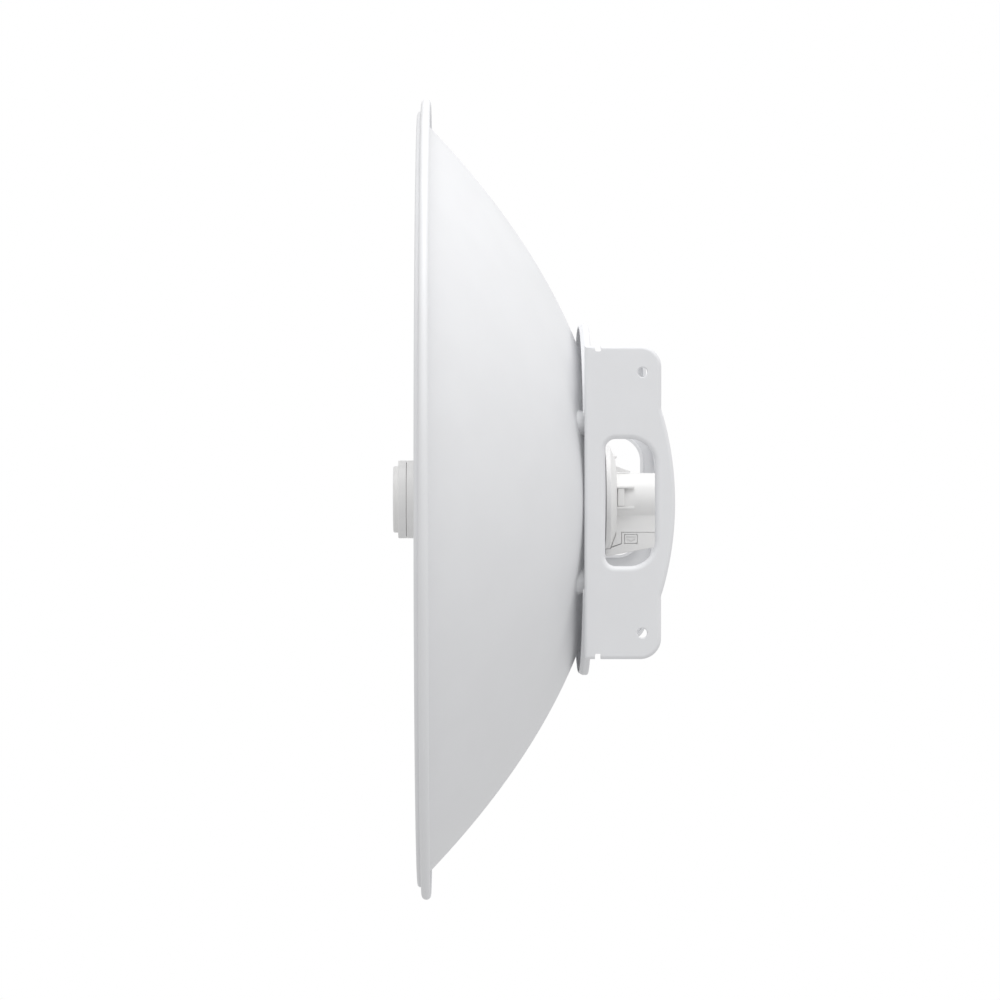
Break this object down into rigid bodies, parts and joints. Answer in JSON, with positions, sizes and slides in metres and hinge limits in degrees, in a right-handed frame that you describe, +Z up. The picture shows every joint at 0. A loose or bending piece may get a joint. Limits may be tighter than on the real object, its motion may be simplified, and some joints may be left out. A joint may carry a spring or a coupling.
{
  "type": "outdoor wireless bridge",
  "caption": "White dish antenna with an in-feed radio, a rear housing with a sliding port door, and a two-eared yoke for a pole bracket.",
  "frame": {"origin": "on the dish axis, midway between the yoke ears' four bolt holes", "axes": "-Y is where the dish points, +Y is towards the pole, +Z up; right is +X as seen from the front"},
  "size_m": [0.6456, 0.2218, 0.6456],
  "materials": {
    "dish_paint": "white powder coat, satin",
    "yoke_paint": "white powder coat, satin",
    "white_plastic": "moulded, fine texture",
    "zinc_steel": "zinc plated",
    "aluminium": "turned",
    "black_rubber": "matte",
    "natural_plastic": "natural",
    "circuit_board": "solder mask",
    "dark_plastic": "matte",
    "smoked_window": "smooth"
  },
  "bodies": {
    "mount": {"dish_reflector": "dish_paint", "mounting_ring": "yoke_paint", "left_ear": "yoke_paint", "right_ear": "yoke_paint", "carriage_bolt_1": "zinc_steel", "flange_nut_1": "zinc_steel", "carriage_bolt_2": "zinc_steel", "flange_nut_2": "zinc_steel", "carriage_bolt_3": "zinc_steel", "flange_nut_3": "zinc_steel", "carriage_bolt_4": "zinc_steel", "flange_nut_4": "zinc_steel", "feed_tube": "white_plastic", "nose_cap": "white_plastic", "cap_seal": "black_rubber", "sub_reflector": "aluminium", "feed_cone": "natural_plastic", "wave_guide": "aluminium", "radio_board": "circuit_board", "shield_can": "zinc_steel", "ethernet_jack": "zinc_steel", "switch_body": "dark_plastic", "rear_collar": "white_plastic", "hub_gasket": "black_rubber", "rear_housing": "white_plastic", "light_window": "smoked_window"},
    "reset_button": {"reset_button": "dark_plastic"},
    "left_latch": {"left_latch": "white_plastic"},
    "right_latch": {"right_latch": "white_plastic"},
    "port_door": {"port_door": "white_plastic"},
    "left_door_button": {"left_door_button": "white_plastic"},
    "right_door_button": {"right_door_button": "white_plastic"}
  },
  "joints": [
    {"name": "port_door_slide", "type": "slide", "parent": "mount", "child": "port_door", "axis": [0, 0, -1], "range_m": [0, 0.03]},
    {"name": "reset_press", "type": "slide", "parent": "mount", "child": "reset_button", "axis": [0, 0, 1], "range_m": [0, 0.0006], "stiffness_N_per_m": 800},
    {"name": "right_latch_flex", "type": "hinge", "parent": "mount", "child": "right_latch", "pos_m": [0.0225, -0.0148, 0], "axis": [0, 0, -1], "range_deg": [0, 8], "stiffness_Nm_per_rad": 0.5},
    {"name": "left_latch_flex", "type": "hinge", "parent": "mount", "child": "left_latch", "pos_m": [-0.0225, -0.0148, 0], "axis": [0, 0, 1], "range_deg": [0, 8], "stiffness_Nm_per_rad": 0.5},
    {"name": "right_door_button_press", "type": "slide", "parent": "port_door", "child": "right_door_button", "axis": [-1, 0, 0], "range_m": [0, 0.0012], "stiffness_N_per_m": 600},
    {"name": "left_door_button_press", "type": "slide", "parent": "port_door", "child": "left_door_button", "axis": [1, 0, 0], "range_m": [0, 0.0012], "stiffness_N_per_m": 600}
  ]
}
